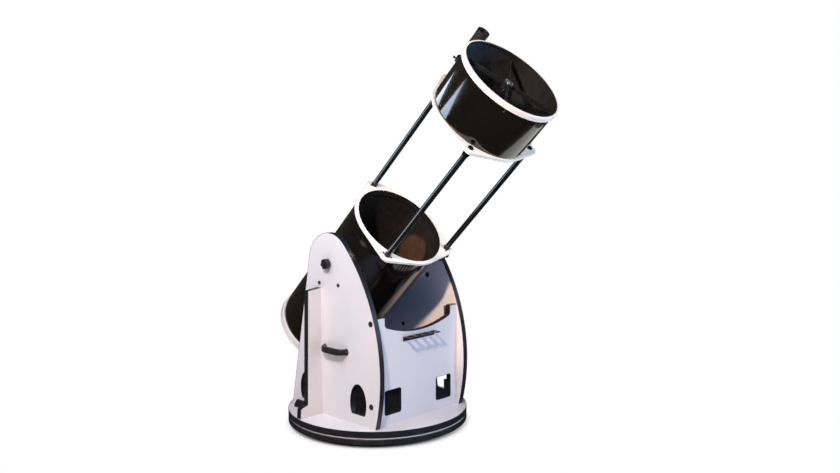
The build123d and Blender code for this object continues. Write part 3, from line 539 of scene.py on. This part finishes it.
def place(shape, matrix, verts, faces):
    """Adds a (verts, faces) shape to growing lists, moved by a matrix."""
    first = len(verts)
    verts.extend(matrix @ v for v in shape[0])
    faces.extend(tuple(first + i for i in f) for f in shape[1])


# ------------------------------------------------------------ pieces beyond the CAD

HANDLE_LOW, HANDLE_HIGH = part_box("handle_right")
HANDLE_FOOT = 0.006
HANDLE_ENDS = (HANDLE_LOW.y + HANDLE_FOOT, HANDLE_HIGH.y - HANDLE_FOOT)
HANDLE_REACH = HANDLE_HIGH.x - BOARD_OUT
HANDLE_Z = (HANDLE_LOW.z + HANDLE_HIGH.z) / 2
LOWER_TOP = along_tube("lower_truss_ring")[1]
MIRROR_FACE = -0.4757
ROD_PCR = 0.255
ROD_ANGLES = (90.0, 220.0, 320.0)
FINDER_AT = TO_TUBE @ Vector(joint("finder_focus_turn")["pos_m"])
FINDER_R = math.hypot(FINDER_AT.x, FINDER_AT.y)
FINDER_ANGLE = math.degrees(math.atan2(FINDER_AT.y, FINDER_AT.x))
FINDER_END = along_tube("finder_tube")[1]
FOCUS_WAY = TO_TUBE.to_3x3() @ Vector(joint("drawtube_travel")["axis"])
FOCUS_ANGLE = math.degrees(math.atan2(FOCUS_WAY.y, FOCUS_WAY.x))
FOCUS_S = sum(along_tube("drawtube")) / 2
FOCUS_GAP = 14
SEAM_ANGLE = 62.0
RIVET = (0.0034, 0.0015)
RIVET_ANGLES = [15 + 30 * k for k in range(12)]
RIVET_PITCH = 0.06


def tube_place(radius, angle, along, outward=False):
    """Where a shape sits in the tube's frame; outward turns its Z axis to point off the axis."""
    turn = math.radians(angle)
    spot = Matrix.Translation((radius * math.cos(turn), radius * math.sin(turn), along))
    made = TUBE_FRAME @ spot @ Matrix.Rotation(turn, 4, "Z")
    return made @ Matrix.Rotation(math.pi / 2, 4, "Y") if outward else made


def many(name, shape, places, slot, body, smooth=True):
    verts, faces = [], []
    for matrix in places:
        place(shape, matrix, verts, faces)
    return add_mesh(name, verts, faces, slot, body, smooth)


def bow_grip(side):
    """Moulded carry handle: a flat squarish grip that bends into a round foot at each end."""
    stations, around = 40, 20
    bend, squareness = 7, 0.45
    verts, faces = [], []
    front, rear = HANDLE_ENDS
    for k in range(stations + 1):
        t = k / stations
        swing = abs(2 * t - 1)
        y = front + (rear - front) * t
        out = HANDLE_REACH * (1 - swing ** bend) - 0.0078
        y += (0.004 * (1 - swing)) * (1 if t < 0.5 else -1)
        steep = bend * swing ** (bend - 1)
        slope = -HANDLE_REACH * steep * (1 if t > 0.5 else -1) * 2 / (rear - front)
        along = Vector((slope, 1.0, 0.0)).normalized()
        normal = Vector((along.y, -along.x, 0.0))
        half_z = 0.0148 - 0.0022 * swing ** 6
        half_n = 0.0084 + 0.0022 * swing ** 3
        centre = Vector((out, y, 0.0))
        for n in range(around):
            turn = 2 * math.pi * n / around
            c, q = math.cos(turn), math.sin(turn)
            across = math.copysign(abs(c) ** squareness, c) * half_n
            rise = math.copysign(abs(q) ** squareness, q) * half_z
            spot = centre + normal * across + Vector((0, 0, rise))
            verts.append(Vector((side * (BOARD_OUT + spot.x), spot.y, HANDLE_Z + spot.z)))
    for k in range(stations):
        for n in range(around):
            a, b = k * around + n, k * around + (n + 1) % around
            faces.append((a, b, b + around, a + around))
    faces.append(tuple(range(around)))
    faces.append(tuple(stations * around + n for n in range(around)))
    half, thick = 0.0165, 0.0050
    foot = lathe([(0, -0.0005), (half, -0.0005), (half, thick * 0.6), (half * 0.9, thick), (0, thick)], 32)
    outward = Matrix.Rotation(side * math.pi / 2, 4, "Y")
    for y in HANDLE_ENDS:
        base = Matrix.Translation((side * BOARD_OUT, y, HANDLE_Z)) @ outward
        place(foot, base @ Matrix.Diagonal((1.0, 0.85, 1.0, 1.0)), verts, faces)
    label = "right" if side > 0 else "left"
    made = add_mesh("handle_grip_" + label, verts, faces, "black_plastic", "rocker_box")
    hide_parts("handle_" + label)
    screw_out, sunk = 0.0085, 0.0002
    places = []
    for y in (HANDLE_ENDS[0] - screw_out, HANDLE_ENDS[1] + screw_out):
        spot = Matrix.Translation((side * (BOARD_OUT + thick - sunk), y, HANDLE_Z))
        places.append(spot @ outward)
    many("handle_screws_" + label, socket_head(0.0034, 0.0016), places, "zinc_steel", "rocker_box")


def tube_seam(name, low, high, angle, body):
    """The lapped seam of a rolled tube, with a row of rivets along it."""
    half, rise, cuts = 2.0, 0.0009, 6
    verts, faces = [], []
    for along in (low, high):
        for radius in (TUBE_R - 0.0005, TUBE_R + rise):
            for k in range(cuts + 1):
                turn = math.radians(angle - half + 2 * half * k / cuts)
                verts.append(TUBE_FRAME @ Vector((radius * math.cos(turn), radius * math.sin(turn), along)))
    row = cuts + 1
    for k in range(cuts):
        faces.append((k, k + 1, 2 * row + k + 1, 2 * row + k))
        faces.append((row + k, 3 * row + k, 3 * row + k + 1, row + k + 1))
        faces.append((k, row + k, row + k + 1, k + 1))
        faces.append((2 * row + k, 2 * row + k + 1, 3 * row + k + 1, 3 * row + k))
    for k in (0, cuts):
        faces.append((k, 2 * row + k, 3 * row + k, row + k))
    add_mesh(name, verts, faces, "tube_black", body, smooth=False)
    count = max(4, int((high - low) / RIVET_PITCH))
    end = 0.01
    step = (high - low - 2 * end) / (count - 1)
    places = [tube_place(TUBE_R + rise, angle, low + end + k * step, True) for k in range(count)]
    many(name + "_rivets", dome(0.0032, 0.0014), places, "tube_black", body)


def finder_place(along):
    return tube_place(FINDER_R, FINDER_ANGLE, along)


def finder_details():
    body = "upper_cage_assembly"
    rib = hoop(0.0285, 0.0262, 0.0016, round_off=0.0006)
    places = [finder_place(FINDER_END - at) for at in (0.021, 0.066, 0.072)]
    many("finder_hood_ribs", rib, places, "black_steel", body)
    collar = hoop(0.0245, 0.0222, 0.009, steps=96, ridges=32, depth=0.0006)
    many("finder_lock_ring", collar, [finder_place(FINDER_END - 0.090)], "black_plastic", body, smooth=False)
    retainer = hoop(0.0262, 0.0228, 0.0015, round_off=0.0005)
    many("finder_lens_retainer", retainer, [finder_place(FINDER_END - 0.0205)], "black_steel", body)
    stops = hoop(0.0262, 0.0245, 0.0006)
    places = [finder_place(FINDER_END - at) for at in (0.006, 0.011, 0.016)]
    many("finder_hood_baffles", stops, places, "black_steel", body)
    grip = hoop(0.0172, 0.0155, 0.0095, steps=144, ridges=36, depth=0.0007)
    many("finder_eyepiece_grip", grip, [finder_place(FINDER_END - 0.2275)], "black_rubber", "finder_eyepiece",
         smooth=False)


def focuser_place(x, y, z):
    """A point in the focuser's frame: z out along the drawtube, y up the telescope, x across."""
    turn = Matrix.Rotation(math.radians(FOCUS_ANGLE), 4, "Z") @ Matrix(
        ((0, 0, 1, 0), (1, 0, 0, 0), (0, 1, 0, 0), (0, 0, 0, 1)))
    return TUBE_FRAME @ Matrix.Translation((0, 0, FOCUS_S)) @ turn @ Matrix.Translation((x, y, z))


def focuser_details():
    knurl = hoop(0.0345, 0.0330, 0.0060, steps=192, ridges=48, depth=0.0006)
    many("drawtube_knurl", knurl, [focuser_place(0, 0, 0.333)], "zinc_steel", "drawtube", smooth=False)
    rings = hoop(0.0286, 0.0275, 0.0008, steps=72)
    many("drawtube_scale", rings, [focuser_place(0, 0, 0.3100 + 0.0030 * k) for k in range(3)], "zinc_steel",
         "drawtube")
    corner = 0.028
    places = [focuser_place(sx * corner, sy * corner, 0.280) for sx in (-1, 1) for sy in (-1, 1)]
    many("focuser_screws", socket_head(0.0042, 0.0022), places, "zinc_steel", "upper_cage_assembly")


def rivet_row(name, along, angles, body):
    many(name, dome(*RIVET), [tube_place(TUBE_R, a, along, True) for a in angles], "tube_black", body)


def lower_tube_details():
    body = "lower_tube_assembly"
    wiper = torus(0.0138, 0.0013, LOWER_TOP + 0.0102, 40, 8)
    many("rod_wipers", wiper, [tube_place(ROD_PCR, a, 0.0) for a in ROD_ANGLES], "black_rubber", body)
    mark = hoop(0.0065, 0.0040, 0.0002, steps=48)
    on_mirror = TUBE_FRAME @ Matrix.Translation((0, 0, MIRROR_FACE + 0.0001))
    many("mirror_centre_mark", mark, [on_mirror], "white_plastic", body)
    rivet_row("rear_ring_rivets", -0.532, RIVET_ANGLES, body)
    rivet_row("lower_ring_rivets", 0.221, RIVET_ANGLES, body)
    tube_seam("lower_tube_seam", -0.527, 0.216, SEAM_ANGLE, body)


def cage_details():
    body = "upper_cage_assembly"
    clear = [a for a in RIVET_ANGLES if abs(a - FOCUS_ANGLE) > FOCUS_GAP]
    rivet_row("upper_ring_rivets", 0.945, clear, body)
    tube_seam("cage_seam", 0.950, 1.138, SEAM_ANGLE, body)


bow_grip(-1)
bow_grip(1)
finder_details()
focuser_details()
lower_tube_details()
cage_details()


# ------------------------------------------------------------ floor, light and camera

CAMERA_ANGLES = (-46.01, 5.72)
CAMERA_ROLL = -0.18
CAMERA_DISTANCE = 4.0006
CAMERA_TARGET = Vector((0.02505, -0.26818, 0.92295))
GLINT_REACH = 1.0
FLOOR_HALF = 14.0
WHITE = (1.0, 1.0, 1.0)
FILL = (0.95, 0.96, 1.0)
MIRRORED = (0.80, 0.71, 0.60)
RINGS = ("rear_ring", "lower_truss_ring", "upper_truss_ring", "top_ring")


def linked(name, data):
    made = bpy.data.objects.new(name, data)
    bpy.context.scene.collection.objects.link(made)
    return made


def stage_panel(name, corners, material):
    """One flat face that belongs to the studio and not to the object."""
    mesh = bpy.data.meshes.new(name)
    mesh.from_pydata(corners, [], [tuple(range(len(corners)))])
    mesh.materials.append(material)
    made = linked(name, mesh)
    return made


def floor():
    """Pale floor: a soft contact shadow near the feet that fades to plain white."""
    s = Shader("studio_floor")
    s.set(Base_Color=s.mix(s.noise(0.8, 3.0), (0.93, 0.93, 0.93), (0.95, 0.95, 0.95)))
    s.set(Roughness=s.span(s.noise(3.0), 0.3, 0.7, 0.75, 0.85), Specular_IOR_Level=0.1)
    s.done()
    far = s.span(distance_from_axis(s, s.coord), 0.40, 0.46)
    white = s.node("ShaderNodeEmission")
    blend = s.node("ShaderNodeMixShader")
    s.put(blend.inputs[0], s.math("MULTIPLY", far, s.node("ShaderNodeLightPath").outputs["Is Camera Ray"]))
    s.tree.links.new(s.bsdf.outputs[0], blend.inputs[1])
    s.tree.links.new(white.outputs[0], blend.inputs[2])
    output = next(n for n in s.tree.nodes if n.type == "OUTPUT_MATERIAL")
    s.tree.links.new(blend.outputs[0], output.inputs[0])
    size = FLOOR_HALF
    corners = [(-size, -size, 0), (size, -size, 0), (size, size, 0), (-size, size, 0)]
    stage_panel("floor", corners, s.mat).visible_glossy = False


def camera_place():
    azimuth, elevation = (math.radians(x) for x in CAMERA_ANGLES)
    back = Vector((
        math.sin(azimuth) * math.cos(elevation),
        -math.cos(azimuth) * math.cos(elevation),
        math.sin(elevation),
    ))
    return CAMERA_TARGET + back * CAMERA_DISTANCE, back


def glint(name, outline, colour, strength):
    """A glowing panel, seen only in reflections, that the camera sees mirrored on the tube.

    The outline is given as (angle, distance along the tube) points on the tube's wall.
    """
    eye, _ = camera_place()
    corners = []
    for angle, along in outline:
        turn = math.radians(angle)
        normal = (math.cos(turn) * AXIS_E1 + math.sin(turn) * AXIS_E2).normalized()
        spot = PIVOT + normal * TUBE_R + AXIS_U * along
        view = (eye - spot).normalized()
        corners.append(tuple(spot + (2 * view.dot(normal) * normal - view) * GLINT_REACH))
    mat = bpy.data.materials.new(name)
    mat.use_nodes = True
    mat.node_tree.nodes.clear()
    glow = mat.node_tree.nodes.new("ShaderNodeEmission")
    glow.inputs[0].default_value = (*colour, 1.0)
    glow.inputs[1].default_value = strength
    output = mat.node_tree.nodes.new("ShaderNodeOutputMaterial")
    mat.node_tree.links.new(glow.outputs[0], output.inputs[0])
    made = stage_panel(name, corners, mat)
    made.visible_camera = False
    made.visible_diffuse = False
    made.visible_shadow = False
    made.visible_transmission = False


def world():
    """White to the eye, a faint fill for the light, and a dim warm room in reflections."""
    made = bpy.data.worlds.new("studio")
    bpy.context.scene.world = made
    made.use_nodes = True
    tree = made.node_tree
    tree.nodes.clear()
    output = tree.nodes.new("ShaderNodeOutputWorld")
    glows = []
    for colour, strength in ((WHITE, 1.0), (FILL, 0.04), (MIRRORED, 0.05)):
        glow = tree.nodes.new("ShaderNodeBackground")
        glow.inputs[0].default_value = (*colour, 1.0)
        glow.inputs[1].default_value = strength
        glows.append(glow)
    seen, fill, mirrored = glows
    path = tree.nodes.new("ShaderNodeLightPath")
    first = tree.nodes.new("ShaderNodeMixShader")
    second = tree.nodes.new("ShaderNodeMixShader")
    tree.links.new(path.outputs["Is Glossy Ray"], first.inputs[0])
    tree.links.new(fill.outputs[0], first.inputs[1])
    tree.links.new(mirrored.outputs[0], first.inputs[2])
    tree.links.new(path.outputs["Is Camera Ray"], second.inputs[0])
    tree.links.new(first.outputs[0], second.inputs[1])
    tree.links.new(seen.outputs[0], second.inputs[2])
    tree.links.new(second.outputs[0], output.inputs[0])


def new_light(name, kind, location, target, energy, colour):
    data = bpy.data.lights.new(name, kind)
    data.energy = energy
    data.color = colour
    made = linked(name, data)
    made.location = location
    aim = Vector(target) - Vector(location)
    made.rotation_euler = aim.to_track_quat("-Z", "Y").to_euler()
    return made


def area_light(name, location, target, size, energy, colour):
    made = new_light(name, "AREA", location, target, energy, colour)
    made.data.shape = "RECTANGLE"
    made.data.size = made.data.size_y = size
    return made


def spot_light(name, location, target, angle, energy, colour, blend, softness):
    made = new_light(name, "SPOT", location, target, energy, colour)
    made.data.spot_size = math.radians(angle)
    made.data.spot_blend = blend
    made.data.shadow_soft_size = softness
    made.visible_glossy = False
    return made


def light_only(light, names, body=None):
    """Keeps a light off every object but the named nodes; a body it belongs to takes it along."""
    group = bpy.data.collections.new(light.name + "_receivers")
    for name in names:
        group.objects.link(frame["nodes"][name])
    light.light_linking.receiver_collection = group
    if body:
        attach(light, body)


def camera():
    place_at, back = camera_place()
    roll = math.radians(CAMERA_ROLL)
    right = Vector((0.0, 0.0, 1.0)).cross(back).normalized()
    up = back.cross(right)
    turned_right = math.cos(roll) * right + math.sin(roll) * up
    turned_up = -math.sin(roll) * right + math.cos(roll) * up
    data = bpy.data.cameras.new("camera")
    data.sensor_width = 36.0
    data.lens = 36.93
    data.clip_end = 100.0
    made = linked("camera", data)
    made.matrix_world = Matrix((
        (turned_right.x, turned_up.x, back.x, place_at.x),
        (turned_right.y, turned_up.y, back.y, place_at.y),
        (turned_right.z, turned_up.z, back.z, place_at.z),
        (0, 0, 0, 1),
    ))
    bpy.context.scene.camera = made


floor()
world()

SUN_SPOT = (-2.10, -1.37, 2.43)
SUN_WAY = Vector((0.742, 0.4265, -0.515)).normalized()
MIDDLE = (0, 0, 0.8)
LINING_SPOT = PIVOT + 0.030 * AXIS_U + 0.220 * AXIS_E1 - 0.025 * AXIS_E2
SKY_SPOT = PIVOT + 1.85 * AXIS_U + 0.75 * AXIS_E1 - 0.35 * AXIS_E2
SKY_AIM = PIVOT + 1.05 * AXIS_U - 0.10 * AXIS_E1 + 0.12 * AXIS_E2

# lights for the whole telescope
area_light("sun", SUN_SPOT, MIDDLE, 0.18, 72, (1.0, 0.80, 0.70))
left = area_light("left", (-1.3, 0.1, 1.9), (-0.3, 0, 0.9), 0.8, 17, (0.60, 0.71, 0.92))
left.visible_glossy = False
area_light("right", (1.6, -4.0, 1.6), (0, 0, 0.6), 1.6, 84, (0.48, 0.65, 1.0))
area_light("top", (-0.6, -0.8, 4.6), MIDDLE, 2.0, 22, (0.55, 0.9, 1.0))

# lights for single pieces
warm = spot_light("warm", SUN_SPOT, (0.274, -0.235, 0.52), 9.0, 215, (1.0, 0.63, 0.34), 0.5, 0.05)
patch_from = LINING_SPOT - 1.6 * SUN_WAY
patch = spot_light("patch", patch_from, LINING_SPOT, 6.2, 560, (1.0, 0.52, 0.30), 0.12, 0.01)
sky = area_light("sky", SKY_SPOT, SKY_AIM, 0.5, 22, (0.28, 0.62, 1.0))
shade = area_light("shade", (-0.9, -1.6, 1.1), (0.27, 0, 0.5), 0.4, 4, (0.12, 0.35, 1.0))
rods = area_light("rods", (-2.2, 1.8, 1.1), (0, -0.4, 1.35), 1.6, 38, (0.66, 0.90, 1.0))
ring_left = area_light("ring_left", (-2.3, -2.2, 2.1), (0, -0.4, 1.3), 0.6, 19, (1.0, 0.78, 0.32))
ring_right = area_light("ring_right", (2.4, -2.8, 1.3), (0, -0.6, 1.4), 1.2, 60, (1.0, 0.90, 0.62))
light_only(warm, ("side_board_right", "board_edges"), "rocker_box")
light_only(shade, ("side_board_right",), "rocker_box")
light_only(patch, ("lower_tube",), "lower_tube_assembly")
light_only(sky, ("cage_tube", "spider"), "upper_cage_assembly")
light_only(rods, ("truss_rods",))
light_only(ring_left, RINGS)
light_only(ring_right, RINGS)
camera()

# panels that the cage mirrors
PALE = (0.75, 0.87, 1.0)
NEAR_PALE = (0.68, 0.84, 1.0)
GLEAM = (0.95, 0.95, 0.92)
glint("streak_far", ((150.8, 0.93), (162.8, 0.93), (149.3, 1.08)), PALE, 5.0)
glint("streak_near", ((169.8, 0.93), (181.8, 0.93), (172.2, 1.11)), NEAR_PALE, 6.5)
glint("streak_right", ((252.0, 0.925), (278.0, 0.925), (284.0, 1.12), (266.0, 1.12)), GLEAM, 0.95)
bpy.context.scene.view_settings.view_transform = "Standard"
